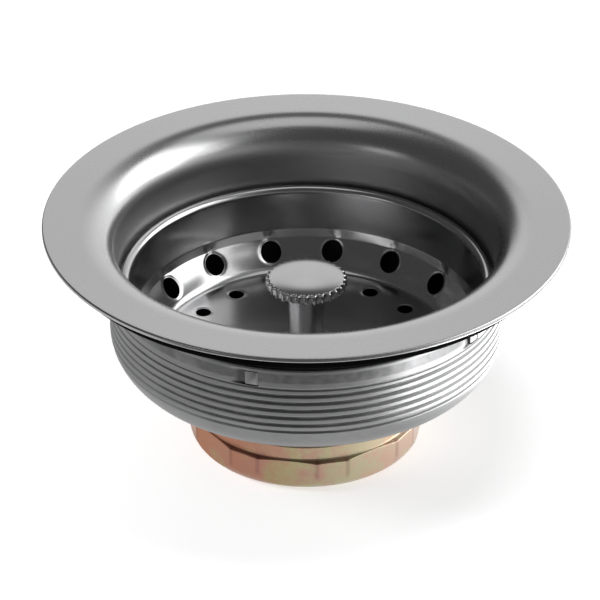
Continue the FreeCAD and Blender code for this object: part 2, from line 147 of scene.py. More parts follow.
# Thread, the line above it and the pockets pressed beside the tabs
THREAD_PITCH = 1.82
THREAD_DEPTH = 0.32
THREAD_SHARPNESS = 4.5
THREAD_TOP = 37.0
THREAD_TOP_FADE = 0.8
THREAD_FOOT = 25.9
THREAD_FOOT_FADE = 1.0
FRONT_GROOVE = 35.9
LINE_HEIGHT = 37.45
LINE_DEPTH = 0.18
LINE_WIDTH = 0.16
PRESS_RUN = 3.0
PRESS_DEPTH = 0.50
PRESS_ABOVE = 0.2
PRESS_BELOW = 0.1
PRESS_FADE = 0.5

# Slip nut
NUT_HEIGHT = high("slip_nut").z
NUT_BORE = 21.2
NUT_BORE_EDGE = 0.4
NUT_LIP = 2.0
NUT_EDGE = 0.12
NUT_CORNER = 25.86
NUT_BASE_ROUND = 4.2
NUT_BASE_START = 3.0
NUT_PAIRS = 8
NUT_STEP = TAU / NUT_PAIRS
NUT_NARROW = math.radians(15.4)
NUT_TURN = math.radians(12.9)
NUT_FLAT_COLUMNS = 24
NUT_BASE_ROWS = 14
NUT_WALL_ROWS = 8
NUT_SHOULDER_ROWS = 5
NUT_FILLET_ROWS = 6
NUT_SHARP_ANGLE = 16
TAIL_HOLE = 16.125
TAIL_HOLE_TOP_EDGE = 0.25
TAIL_HOLE_FOOT_EDGE = 0.4
COLLAR_RADIUS = 24.5
COLLAR_FOOT = 8.1
COLLAR_FILLET = 0.4
COLLAR_EDGE = 0.6
SHOULDER_FOOT = 7.7

# Basket
BASKET_SHEET = 0.7
BASKET_TURN = math.radians(13.05)
BASKET_FLOOR = 22.0
BASKET_FLOOR_RADIUS = 32.6
BASKET_ROW_GAP = 0.7
FLOOR_BEND = 2.8
BOSS_RADIUS = 7.0
BOSS_TOP = 22.8
BOSS_BEND = 0.6
BOSS_FLARE = 0.8
STEM_HOLE = 2.55
RIM_RADIUS = outer_radius("strainer_basket")
RIM_TOP = high("strainer_basket").z
RIM_FOOT = 38.1
RIM_INNER_ROUND = 1.35
RIM_OUTER_ROUND = 0.70
WALL_TOP_RADIUS = 38.3
WALL_FOOT_RADIUS = 37.5
WALL_FOOT = 28.2
STEP_FOOT = (37.22, 28.05)
STEP_TOP = (38.08, 29.75)
STEP_BEND = 0.5

# Holes of the basket, and the marks of the press round them
HOLE_COUNT = 16
HOLE_STEP = TAU / HOLE_COUNT
HOLE_ACROSS = 20
HOLE_DOWN = 12
HOLE_RINGS = 11
HOLE_RING_CROWDING = 1.9
HOLE_ROLL_WIDTH = 0.35
BAND_HOLE = 2.35
BAND_HOLE_STRETCH = 1.08
BAND_HOLE_SHARE = 0.58
BAND_HOLE_ROLL = 0.14
BAND_STRIP_BELOW = 3.2
BAND_STRIP_ABOVE = 3.0
BAND_BULGE = 0.20
BAND_BULGE_SPREAD = 2.8
DENT_DEPTH = 0.3
DENT_WIDTH = 0.9
DENT_HEIGHT = 1.1
DENT_ABOVE_HOLE = 0.9
FLOOR_HOLE = 1.7
FLOOR_HOLE_RING = 27.0
FLOOR_HOLE_ROLL = 0.12
FLOOR_STRIP_HALF = 2.9
RUN_SAMPLES = 20001
RUN_STEP = 0.05
RUN_GAP = 0.02

# Post
POST_TOP = 37.5
POST_TOP_RADIUS = 4.2
POST_FOOT_RADIUS = 3.7
POST_COLUMNS = 96
POST_ROW_GAP = 1.0
STEM_RADIUS = 2.5
STEM_TIP_ROUND = 1.2
POST_COLLAR_RADIUS = POST_FOOT_RADIUS + 0.5
POST_COLLAR_HEIGHT = 0.6
POST_COLLAR_EDGE = 0.2
POST_COLLAR_SLOPE = 0.8

# Knob
KNOB_RADIUS = 8.9
KNOB_SIDE = 2.1
KNOB_CROWN = 0.5
KNOB_PLATEAU = 8.1
KNOB_PLATEAU_RISE = 0.45
KNOB_PLATEAU_ROWS = 16
KNOB_PLATEAU_POWER = 4
KNOB_UNDERSIDE = 0.6
KNOB_SHARP_ANGLE = 28
SCALLOPS = 30
SCALLOP_COLUMNS = 16
SCALLOP_RADIUS = 0.85
SCALLOP_DEPTH = 0.6


# Mesh helpers
def rounded(corners, closed=True, step=math.radians(4)):
    """Points of an outline of (radius, height) corners, where a third value rounds the corner."""
    points = []
    count = len(corners)
    for i, corner in enumerate(corners):
        here = np.array(corner[:2], float)
        if len(corner) == 2 or (not closed and i in (0, count - 1)):
            points.append(here)
            continue
        before = np.array(corners[i - 1][:2], float) - here
        after = np.array(corners[(i + 1) % count][:2], float) - here
        before /= np.linalg.norm(before)
        after /= np.linalg.norm(after)
        half = math.acos(np.clip(before @ after, -1, 1)) / 2
        reach = corner[2] / math.tan(half)
        middle = (before + after) / np.linalg.norm(before + after)
        centre = here + middle * corner[2] / math.sin(half)
        first = here + before * reach - centre
        last = here + after * reach - centre
        a0 = math.atan2(first[1], first[0])
        turn = (math.atan2(last[1], last[0]) - a0 + math.pi) % TAU - math.pi
        pieces = max(2, math.ceil(abs(turn) / step))
        for k in range(pieces + 1):
            a = a0 + turn * k / pieces
            points.append(centre + corner[2] * np.array([math.cos(a), math.sin(a)]))
    return np.array(points)


def dense(points, gap, closed=True):
    """The same outline with no run longer than gap."""
    out = []
    count = len(points)
    for i in range(count if closed else count - 1):
        a, b = points[i], points[(i + 1) % count]
        pieces = max(1, math.ceil(np.linalg.norm(b - a) / gap))
        out.extend(a + (b - a) * k / pieces for k in range(pieces))
    if not closed:
        out.append(points[-1])
    return np.array(out)


def spin(r, angles, z):
    """Points at radii, angles and heights, row by row."""
    r, angles, z = np.broadcast_arrays(r, angles, z)
    return np.stack([r * np.cos(angles), r * np.sin(angles), z], axis=-1).reshape(-1, 3)


def grid_faces(rows, columns, close_rows, start=0):
    """Quads of a grid that closes round the axis, whose vertices run row by row from start."""
    faces = []
    for i in range(rows if close_rows else rows - 1):
        here = start + i * columns
        below = start + (i + 1) % rows * columns
        for j in range(columns):
            k = (j + 1) % columns
            faces.append((here + j, here + k, below + k, below + j))
    return faces


def turned(profile, angles, closed=True):
    """Vertices and faces of a profile turned about the axis."""
    vertices = spin(profile[:, :1], angles, profile[:, 1:])
    return vertices, grid_faces(len(profile), len(angles), closed)


def even(count):
    """Angles evenly round the axis."""
    return np.arange(count) * TAU / count


def from_nearest(angles, step):
    """Angles measured from the nearest multiple of step."""
    return (angles + step / 2) % step - step / 2


def smooth_step(x):
    """Soft step from 0 at 0 to 1 at 1."""
    x = np.clip(x, 0, 1)
    return x * x * (3 - 2 * x)


def piece(name, body, material, vertices, faces, replaces=(), sharp=SHARP_ANGLE):
    """A mesh piece that rides on a CAD body, from millimetres."""
    mesh = bpy.data.meshes.new(name)
    mesh.from_pydata([tuple(v) for v in np.asarray(vertices) * MM], [], faces)
    mesh.validate()
    mesh.update()
    obj = bpy.data.objects.new(name, mesh)
    bpy.context.scene.collection.objects.link(obj)
    weld_and_smooth(mesh, sharp)
    mesh.materials.append(material)
    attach(obj, body)
    if replaces:
        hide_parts(*replaces)
    return obj


def weld_and_smooth(mesh, sharp):
    """Join doubled points, point the faces outward and shade smooth between sharp edges."""
    bm = bmesh.new()
    bm.from_mesh(mesh)
    bmesh.ops.remove_doubles(bm, verts=bm.verts, dist=WELD_GAP)
    bmesh.ops.dissolve_degenerate(bm, edges=bm.edges, dist=WELD_GAP)
    bmesh.ops.recalc_face_normals(bm, faces=bm.faces)
    for face in bm.faces:
        face.smooth = True
    bm.to_mesh(mesh)
    bm.free()
    mesh.set_sharp_from_angle(angle=math.radians(sharp))


def thicken(obj, thickness):
    """Give a sheet its thickness on the far side of its faces."""
    modifier = obj.modifiers.new("sheet", "SOLIDIFY")
    modifier.thickness = thickness * MM
    modifier.offset = -1.0
    modifier.use_even_offset = True
    graph = bpy.context.evaluated_depsgraph_get()
    mesh = bpy.data.meshes.new_from_object(obj.evaluated_get(graph))
    obj.modifiers.clear()
    obj.data = mesh
    for polygon in mesh.polygons:
        polygon.use_smooth = True
    mesh.set_sharp_from_angle(angle=math.radians(SHARP_ANGLE))


# Material helpers
NOISE_LOW = 0.3
NOISE_HIGH = 0.7


class Nodes:
    """Short way to write the nodes of a material or a world."""

    def __init__(self, owner, shader="Principled BSDF", place="Object"):
        owner.use_nodes = True
        self.owner = owner
        self.tree = owner.node_tree
        self.shader = self.tree.nodes[shader]
        self.place = self.add("ShaderNodeTexCoord").outputs[place]

    def add(self, kind, **settings):
        node = self.tree.nodes.new(kind)
        for key, value in settings.items():
            setattr(node, key, value)
        return node

    def link(self, source, target):
        """Join two sockets, or set a constant on the target."""
        if isinstance(source, bpy.types.NodeSocket):
            self.tree.links.new(source, target)
        else:
            target.default_value = source

    def set(self, **values):
        """Give the shader's inputs their sockets or constants, by names with underscores."""
        for name, value in values.items():
            self.link(value, self.shader.inputs[name.replace("_", " ")])

    def math(self, operation, a, b=0.0):
        node = self.add("ShaderNodeMath", operation=operation)
        self.link(a, node.inputs[0])
        self.link(b, node.inputs[1])
        return node.outputs[0]

    def plus(self, first, *others):
        for other in others:
            first = self.math("ADD", first, other)
        return first

    def times(self, first, *others):
        for other in others:
            first = self.math("MULTIPLY", first, other)
        return first

    def vector(self, x, y, z):
        node = self.add("ShaderNodeCombineXYZ")
        for value, socket in zip((x, y, z), node.inputs):
            self.link(value, socket)
        return node.outputs[0]

    def split(self, value):
        node = self.add("ShaderNodeSeparateXYZ")
        self.link(value, node.inputs[0])
        return node.outputs

    def surface(self, output):
        """A value of the surface, such as its normal."""
        return self.add("ShaderNodeNewGeometry").outputs[output]

    def noise(self, place, scale, detail=3.0, rough=0.5):
        node = self.add("ShaderNodeTexNoise")
        self.link(place, node.inputs["Vector"])
        node.inputs["Scale"].default_value = scale
        node.inputs["Detail"].default_value = detail
        node.inputs["Roughness"].default_value = rough
        return node.outputs["Fac"]

    def ramp(self, factor, stops):
        node = self.add("ShaderNodeValToRGB")
        while len(node.color_ramp.elements) < len(stops):
            node.color_ramp.elements.new(1.0)
        for element, (position, color) in zip(node.color_ramp.elements, stops):
            element.position = position
            element.color = (*color, 1.0)
        self.link(factor, node.inputs[0])
        return node.outputs[0]

    def tones(self, factor, dark, light):
        """Colour between two tones, over the usual range of a noise."""
        return self.ramp(factor, [(NOISE_LOW, dark), (NOISE_HIGH, light)])

    def blend(self, factor, first, second):
        node = self.add("ShaderNodeMixRGB")
        for value, socket in zip((factor, first, second), node.inputs):
            self.link(value, socket)
        return node.outputs[0]

    def spread(self, factor, low_value, high_value):
        """Value between two ends, over the usual range of a noise."""
        node = self.add("ShaderNodeMapRange")
        self.link(factor, node.inputs["Value"])
        node.inputs["From Min"].default_value = NOISE_LOW
        node.inputs["From Max"].default_value = NOISE_HIGH
        node.inputs["To Min"].default_value = low_value
        node.inputs["To Max"].default_value = high_value
        return node.outputs["Result"]

    def edge(self, value, start, end):
        """Soft step from 0 at start to 1 at end."""
        node = self.add("ShaderNodeMapRange", interpolation_type="SMOOTHSTEP")
        self.link(value, node.inputs["Value"])
        node.inputs["From Min"].default_value = start
        node.inputs["From Max"].default_value = end
        return node.outputs["Result"]

    def edge_mm(self, value, ends):
        """Soft step between two ends in millimetres."""
        return self.edge(value, ends[0] * MM, ends[1] * MM)

    def bump(self, height, strength, distance, normal=None):
        node = self.add("ShaderNodeBump")
        node.inputs["Strength"].default_value = strength
        node.inputs["Distance"].default_value = distance
        self.link(height, node.inputs["Height"])
        if normal is not None:
            self.link(normal, node.inputs["Normal"])
        return node.outputs["Normal"]

    def polar(self):
        """Distance from the axis, angle and height."""
        x, y, z = self.split(self.place)
        squares = self.plus(self.times(x, x), self.times(y, y))
        return self.math("SQRT", squares), self.math("ARCTAN2", y, x), z

    def round_place(self, around):
        """Place in rings, for a grain that runs round."""
        radius, angle, z = self.polar()
        return self.vector(radius, self.times(angle, around), z)

    def from_nearest(self, angle, step, start):
        """Angle measured from the nearest of the places that follow start by steps."""
        positive = self.plus(angle, 2 * TAU + step / 2 - start)
        return self.math("SUBTRACT", self.math("MODULO", positive, step), step / 2)

    def facing_axis(self):
        """1 where the surface looks toward the axis."""
        x, y, _ = self.split(self.place)
        flat = self.add("ShaderNodeVectorMath", operation="NORMALIZE")
        self.link(self.vector(x, y, 0.0), flat.inputs[0])
        dot = self.add("ShaderNodeVectorMath", operation="DOT_PRODUCT")
        self.link(flat.outputs["Vector"], dot.inputs[0])
        self.link(self.surface("Normal"), dot.inputs[1])
        return self.edge(dot.outputs["Value"], -0.2, -0.4)

    def round_tangent(self):
        return self.add("ShaderNodeTangent", direction_type="RADIAL", axis="Z").outputs[0]


def new_material(name):
    return Nodes(bpy.data.materials.new(name))


# Painted shade in the cup: ends of each soft step in millimetres, and shares of painted shade and
# roughness
CUP_NECK_HEIGHT = (50.5, 46.5)
CUP_NECK_SHADE = 0.06
CUP_NECK_ROUGH = 0.14
CUP_OUTSIDE_RADIUS = (41.6, 42.0)
CUP_OUTSIDE_HEIGHT = (46.0, 45.0)
CUP_OUTSIDE_SHADE = 0.32


def cup_shade_and_roughness(n):
    """Drawn neck: rougher inside, with a little painted shade down the neck, and painted shade on the
    outside of the neck and its tabs, behind the shank.
    """
    radius, _, z = n.polar()
    neck = n.edge_mm(z, CUP_NECK_HEIGHT)
    outside = n.times(n.edge_mm(radius, CUP_OUTSIDE_RADIUS), n.edge_mm(z, CUP_OUTSIDE_HEIGHT))
    # Painted shade: near black blended in down the neck and on its outside.
    darker = n.plus(n.times(outside, CUP_OUTSIDE_SHADE), n.times(neck, CUP_NECK_SHADE))
    return darker, n.times(neck, CUP_NECK_ROUGH)


# Painted shade and stain on the shank, in the same way
SHANK_WITHIN_RADIUS = (42.0, 41.6)
SHANK_WITHIN_UPWARD = (0.1, 0.3)
SHANK_INSIDE_SHADE = 0.85
SHANK_INSIDE_ROUGH = 0.2
BAND_FOOT_HEIGHT = (38.7, 39.2)
BAND_TOP_HEIGHT = (41.5, 41.0)
BAND_STAIN_AND_SHADE = (0.12, 0.60)
BAND_COARSE_SCALE = 130.0
BAND_FINE_SCALE = 420.0
POCKET_FOOT_HEIGHT = (37.5, 37.9)
POCKET_TOP_HEIGHT = (41.6, 41.2)
POCKET_FADE_SHARE = 0.4
POCKET_END = 0.004
POCKET_SHADE = 0.62


def shank_shade_stain_and_roughness(n):
    """Painted shade on the inside of the shank, a mottled darker band under the flange that is partly
    stain and partly painted shade, and painted shade in the pockets beside the tabs.
    """
    radius, angle, z = n.polar()
    _, _, upward = n.split(n.surface("Normal"))
    # Painted shade inside the shank, where it lies within the wall or faces the axis.
    within = n.times(n.edge_mm(radius, SHANK_WITHIN_RADIUS), n.edge(upward, *SHANK_WITHIN_UPWARD))
    inside = n.math("MAXIMUM", within, n.facing_axis())
    # Mottled band under the flange: partly stain, partly painted shade.
    band = n.times(n.edge_mm(z, BAND_FOOT_HEIGHT), n.edge_mm(z, BAND_TOP_HEIGHT))
    coarse = n.noise(n.place, BAND_COARSE_SCALE)
    fine = n.noise(n.place, BAND_FINE_SCALE)
    mottle = n.plus(n.times(coarse, 0.5), n.times(fine, 0.5))
    stain_and_shade = n.times(band, n.spread(mottle, *BAND_STAIN_AND_SHADE))
    # Painted shade in the pockets pressed beside the tabs.
    start = SHANK_TURN + (TAB_OFFSET - TAB_SLOT / 2) / SHANK_OUTSIDE
    local = n.from_nearest(angle, WINDOW_STEP, start)
    run = PRESS_RUN / SHANK_OUTSIDE
    pocket = n.times(
        n.edge(local, -run, -POCKET_FADE_SHARE * run),
        n.edge(local, POCKET_END, 0.0),
        n.edge_mm(z, POCKET_FOOT_HEIGHT),
        n.edge_mm(z, POCKET_TOP_HEIGHT),
    )
    stain_and_shade = n.math("MAXIMUM", stain_and_shade, n.times(pocket, POCKET_SHADE))
    darker = n.math("MAXIMUM", n.times(inside, SHANK_INSIDE_SHADE), stain_and_shade)
    return darker, n.times(inside, SHANK_INSIDE_ROUGH)


# Materials
STEEL_RING_STRETCH = 0.004
STEEL_RING_SHARE = 0.6
STEEL_CLOUD_SHARE = 0.4
STEEL_CLOUD_SCALE = 60.0
STEEL_WAVE_SCALE = 110.0
STEEL_WAVE_HEIGHT = 0.0004
STEEL_SHADE_AND_STAIN = (0.01, 0.01, 0.01, 1.0)


def steel(name, dark, light, rough, grain, aniso, waves=0.0, shade_and_stain=None):
    """Steel with a grain that runs round the axis, cloudy patches, slight waves, and darker, rougher
    places where painted shade and stain are given.
    """
    n = new_material(name)
    rings = n.noise(n.round_place(STEEL_RING_STRETCH), grain, detail=4.0, rough=0.6)
    cloud = n.noise(n.place, STEEL_CLOUD_SCALE)
    mixed = n.plus(n.times(rings, STEEL_RING_SHARE), n.times(cloud, STEEL_CLOUD_SHARE))
    color = n.tones(mixed, dark, light)
    roughness = n.spread(mixed, *rough)
    if shade_and_stain:
        darker, rougher = shade_and_stain(n)
        # Painted shade and stain: the colour is blended towards near black.
        color = n.blend(darker, color, STEEL_SHADE_AND_STAIN)
        roughness = n.plus(roughness, rougher)
    normal = n.bump(rings, strength=0.005, distance=0.00003)
    if waves:
        wide = n.noise(n.place, STEEL_WAVE_SCALE, detail=1.0)
        normal = n.bump(wide, waves, STEEL_WAVE_HEIGHT, normal)
    n.set(Base_Color=color, Roughness=roughness, Metallic=1.0, Anisotropic=aniso)
    n.set(Normal=normal, Tangent=n.round_tangent())
    return n.owner


def rubber(name):
    n = new_material(name)
    fine = n.noise(n.place, scale=2600.0, detail=4.0)
    cloud = n.noise(n.place, scale=90.0)
    n.set(
        Base_Color=n.tones(cloud, (0.002, 0.002, 0.002), (0.005, 0.005, 0.005)),
        Roughness=n.spread(fine, 0.7, 0.85),
        Specular_IOR_Level=0.03,
        Normal=n.bump(fine, strength=0.25, distance=0.00006),
    )
    return n.owner


def plastic(name):
    n = new_material(name)
    fine = n.noise(n.place, scale=1500.0)
    cloud = n.noise(n.place, scale=80.0)
    n.set(
        Base_Color=n.tones(cloud, (0.76, 0.76, 0.72), (0.84, 0.84, 0.80)),
        Roughness=n.spread(fine, 0.4, 0.55),
        Normal=n.bump(fine, strength=0.1, distance=0.00005),
    )
    return n.owner


# Zinc: tones from left to right across the nut, lighter towards the right as painted light, and soft
# steps in millimetres, radians or shares
ZINC_OLIVE_AND_PAINTED_LIGHT = [
    (0.05, (0.42, 0.26, 0.13)),
    (0.35, (0.40, 0.32, 0.17)),
    (0.60, (0.47, 0.42, 0.26)),
    (0.80, (0.58, 0.50, 0.34)),
    (0.95, (0.68, 0.60, 0.41)),
]
ZINC_PINK_AND_PAINTED_LIGHT = [
    (0.05, (0.46, 0.20, 0.11)),
    (0.30, (0.43, 0.22, 0.16)),
    (0.55, (0.48, 0.30, 0.23)),
    (0.80, (0.65, 0.43, 0.33)),
    (0.95, (0.72, 0.52, 0.40)),
]
ZINC_LINE_COLOR = (0.16, 0.06, 0.07, 1.0)
ZINC_LINE_SHARE = 0.28
ZINC_LINE_WIDTH = (0.03, 0.008)
ZINC_NARROW_EDGE = (0.01, -0.01)
ZINC_FLATS_HEIGHT = (3.0, 4.5)
ZINC_FLATS_RADIUS = (24.6, 24.9)
ZINC_LEFT = (0.50, 0.20)
ZINC_LEFT_PINK = 0.16
ZINC_RIGHT = (0.70, 0.85)
ZINC_RIGHT_PINK = 0.12
ZINC_LESS_PINK = -0.03
ZINC_NARROW_PINK = 0.10
ZINC_SPECK = 0.15
ZINC_PINK_EDGE = (0.39, 0.65)


def zinc(name):
    """Yellow chromate on zinc: copper pink on one side, olive in the middle, pale gold on the other, with
    painted light making the tones lighter towards the right.
    """
    n = new_material(name)
    x, _, _ = n.split(n.place)
    across = n.plus(n.times(x, 1.0 / (2 * NUT_CORNER * MM)), 0.5)
    radius, angle, z = n.polar()
    cloud = n.noise(n.place, scale=190.0, rough=0.55)
    fine = n.noise(n.place, scale=900.0, detail=4.0)
    local = n.from_nearest(angle, NUT_STEP, NUT_TURN)
    from_edge = n.math("SUBTRACT", n.math("ABSOLUTE", local), NUT_NARROW / 2)
    on_flats = n.times(n.edge_mm(z, ZINC_FLATS_HEIGHT), n.edge_mm(radius, ZINC_FLATS_RADIUS))
    narrow = n.times(n.edge(from_edge, *ZINC_NARROW_EDGE), on_flats)
    line = n.times(n.edge(n.math("ABSOLUTE", from_edge), *ZINC_LINE_WIDTH), on_flats)
    pinkness = n.plus(
        cloud,
        n.times(n.math("SUBTRACT", fine, 0.5), ZINC_SPECK),
        n.times(n.edge(across, *ZINC_LEFT), ZINC_LEFT_PINK),
        n.times(n.edge(across, *ZINC_RIGHT), ZINC_RIGHT_PINK),
        n.times(narrow, ZINC_NARROW_PINK),
        ZINC_LESS_PINK,
    )
    pinkness = n.edge(pinkness, *ZINC_PINK_EDGE)
    # The tones grow lighter across the nut towards the right: chromate hues with painted light.
    tint = n.blend(pinkness, n.ramp(across, ZINC_OLIVE_AND_PAINTED_LIGHT), n.ramp(across, ZINC_PINK_AND_PAINTED_LIGHT))
    n.set(
        Base_Color=n.blend(n.times(line, ZINC_LINE_SHARE), tint, ZINC_LINE_COLOR),
        Roughness=n.spread(fine, 0.26, 0.36),
        Metallic=1.0,
        Normal=n.bump(fine, strength=0.08, distance=0.00005),
    )
    return n.owner


satin = steel(
    "satin_stainless", dark=(0.463, 0.463, 0.466), light=(0.477, 0.477, 0.480),
    rough=(0.26, 0.28), grain=9000.0, aniso=0.3, shade_and_stain=cup_shade_and_roughness,
)
rolled = steel(
    "rolled_steel", dark=(0.19, 0.191, 0.193), light=(0.30, 0.301, 0.304),
    rough=(0.30, 0.42), grain=5000.0, aniso=0.4, waves=0.03, shade_and_stain=shank_shade_stain_and_roughness,
)
polished = steel(
    "polished_stainless", dark=(0.44, 0.44, 0.444), light=(0.48, 0.48, 0.484),
    rough=(0.16, 0.20), grain=5000.0, aniso=0.1, waves=0.02,
)
knob_steel = steel(
    "knob_steel", dark=(0.43, 0.43, 0.433), light=(0.48, 0.48, 0.483),
    rough=(0.16, 0.22), grain=8000.0, aniso=0.3,
)
black_rubber = rubber("black_rubber")
yellow_zinc = zinc("yellow_zinc")
white_washer = plastic("white_washer")

# CAD nodes that are shown as they are
for node, material in (
    ("crossbar", satin),
    ("post_nut", satin),
    ("stopper_plate", polished),
    ("basket_stopper", black_rubber),
    ("slip_washer", white_washer),
):
    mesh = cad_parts[node].data
    mesh.materials.clear()
    mesh.materials.append(material)


# Strainer cup with its tabs
def make_cup():
    profile = rounded([
        (FLANGE_RADIUS, FLANGE_TOP - CUP_SHEET, FLANGE_UNDER_EDGE),
        (FLANGE_RADIUS, FLANGE_TOP, FLANGE_EDGE),
        (NECK_RADIUS, FLANGE_TOP, LIP_RADIUS),
        (NECK_RADIUS, LEDGE_TOP, LEDGE_BEND),
        (LEDGE_RADIUS, LEDGE_TOP),
        (LEDGE_RADIUS, LEDGE_TOP - CUP_SHEET),
        (NECK_OUTSIDE, LEDGE_TOP - CUP_SHEET, LEDGE_BEND + CUP_SHEET),
        (NECK_OUTSIDE, FLANGE_TOP - CUP_SHEET, LIP_RADIUS - CUP_SHEET),
    ])
    vertices, faces = turned(dense(profile, CUP_ROW_GAP), even(CUP_COLUMNS))
    vertices = list(vertices)
    for k in range(WINDOW_COUNT):
        add_tab(vertices, faces, SHANK_TURN + k * WINDOW_STEP)
    piece("cup", "drain_body", satin, vertices, faces, ["strainer_cup"])


def add_tab(vertices, faces, angle):
    """A tab from the neck into a window, with a bevelled face that lies nearer one side."""
    middle = (WINDOW_TOP + WINDOW_FOOT) / 2
    side = TAB_WIDTH / 2
    rise = TAB_HEIGHT / 2
    outline = rounded([
        (side, middle - rise, TAB_CORNER),
        (side, middle + rise, TAB_CORNER),
        (-side, middle + rise, TAB_CORNER),
        (-side, middle - rise, TAB_CORNER),
    ])
    layers = (
        (NECK_OUTSIDE - TAB_ROOT, 1.0, 0.0),
        (SHANK_OUTSIDE - TAB_BEVEL, 1.0, 0.0),
        (SHANK_OUTSIDE - TAB_SUNK, TAB_FACE_SHARE, TAB_FACE_SHIFT),
    )
    start = len(vertices)
    for out, share, shift in layers:
        for across, z in outline:
            y = across * share + TAB_OFFSET - shift
            vertices.append((
                out * math.cos(angle) - y * math.sin(angle),
                out * math.sin(angle) + y * math.cos(angle),
                middle + (z - middle) * share,
            ))
    count = len(outline)
    faces.extend(grid_faces(len(layers), count, False, start))
    for layer in (0, len(layers) - 1):
        faces.append(tuple(start + layer * count + v for v in range(count)))


def make_gasket():
    profile = rounded([
        (GASKET_RADIUS, GASKET_TOP, GASKET_EDGE),
        (GASKET_RADIUS, GASKET_FOOT, GASKET_EDGE),
        (GASKET_BORE_FOOT, GASKET_FOOT),
        (GASKET_BORE_TOP, GASKET_TOP),
    ])
    vertices, faces = turned(dense(profile, GASKET_ROW_GAP), even(GASKET_COLUMNS))
    piece("gasket", "drain_body", black_rubber, vertices, faces, ["flange_gasket"])


# Shank with its helical thread and windows
def shank_outside():
    """Rows down the outside: radius, height, outward direction and run along the wall, or OFF_WALL."""
    rows = []
    for degrees in range(90, -1, -SHANK_EDGE_STEP):
        c = math.cos(math.radians(degrees))
        s = math.sin(math.radians(degrees))
        r = SHANK_OUTSIDE - SHANK_EDGE + SHANK_EDGE * c
        rows.append((r, SHANK_TOP - SHANK_EDGE + SHANK_EDGE * s, c, s, OFF_WALL))
    arc_top = SHANK_FLOOR + SHANK_CORNER
    heights = np.concatenate([
        np.linspace(SHANK_TOP - SHANK_BAND_START, WINDOW_TOP, SHANK_BAND_ROWS),
        np.linspace(WINDOW_TOP, WINDOW_FOOT, SHANK_WINDOW_ROWS)[1:],
        np.arange(WINDOW_FOOT - SHANK_ROW_STEP, arc_top, -SHANK_ROW_STEP),
    ])
    rows += [(SHANK_OUTSIDE, h, 1.0, 0.0, h) for h in heights]
    reach = SHANK_CORNER * math.pi / 2
    arc = np.concatenate([
        np.arange(0.0, SHANK_CORNER_FINE_RUN, SHANK_ROW_STEP),
        np.linspace(SHANK_CORNER_FINE_RUN, reach, SHANK_CORNER_FAR_ROWS),
    ])
    for a in arc:
        c = math.cos(a / SHANK_CORNER)
        s = math.sin(a / SHANK_CORNER)
        r = SHANK_OUTSIDE - SHANK_CORNER * (1 - c)
        rows.append((r, arc_top - SHANK_CORNER * s, c, -s, arc_top - a))
    return rows


def shank_inside():
    """Rows under the floor, round the spigot and up the inside, in the same form."""
    slope = (SHANK_FLOOR - MOUTH_HEIGHT) / (FLOOR_BREAK - SPIGOT_RADIUS)
    mouth = MOUTH_HEIGHT + SHANK_SHEET - (SPIGOT_RADIUS - SPIGOT_BORE) * slope
    under = rounded([
        (SHANK_OUTSIDE - SHANK_CORNER - SHANK_UNDER_START, SHANK_FLOOR),
        (FLOOR_BREAK, SHANK_FLOOR, FLOOR_BREAK_BEND),
        (SPIGOT_RADIUS, MOUTH_HEIGHT, MOUTH_BEND),
        (SPIGOT_RADIUS, SHANK_FOOT, SPIGOT_EDGE),
        (SPIGOT_BORE, SHANK_FOOT, SPIGOT_EDGE),
        (SPIGOT_BORE, mouth, MOUTH_INNER_BEND),
        (FLOOR_BREAK, SHANK_FLOOR + SHANK_SHEET, FLOOR_BREAK_BEND),
        (SHANK_INSIDE, SHANK_FLOOR + SHANK_SHEET, SHANK_CORNER - SHANK_SHEET),
        (SHANK_INSIDE, WINDOW_FOOT),
        (SHANK_INSIDE, WINDOW_TOP),
        (SHANK_INSIDE, SHANK_TOP),
    ], closed=False)
    return [(r, z, 0.0, 0.0, OFF_WALL) for r, z in dense(under, SHANK_UNDER_GAP, closed=False)]


def shank_relief(h, angles):
    """Depth of thread, line and pressed pockets at runs along the wall and angles."""
    from_front = (angles + math.pi / 2 + math.pi) % TAU - math.pi
    phase = (h - FRONT_GROOVE) / THREAD_PITCH - from_front / TAU
    groove = (0.5 + 0.5 * np.cos(TAU * phase)) ** THREAD_SHARPNESS
    top_end = smooth_step((THREAD_TOP - h) / THREAD_TOP_FADE)
    foot_end = smooth_step((h - THREAD_FOOT) / THREAD_FOOT_FADE)
    line = LINE_DEPTH * np.exp(-(((h - LINE_HEIGHT) / LINE_WIDTH) ** 2))
    before = from_nearest(angles - SHANK_TURN - SLOT_SHIFT + SLOT_HALF, WINDOW_STEP)
    ramp = np.clip(1 + before * SHANK_OUTSIDE / PRESS_RUN, 0, 1) * (before <= SAME_ANGLE)
    under_top = smooth_step((WINDOW_TOP + PRESS_ABOVE - h) / PRESS_FADE)
    over_foot = smooth_step((h - WINDOW_FOOT + PRESS_BELOW) / PRESS_FADE)
    pressed = PRESS_DEPTH * ramp * under_top * over_foot * (h < OFF_WALL)
    return THREAD_DEPTH * groove * top_end * foot_end + line + pressed


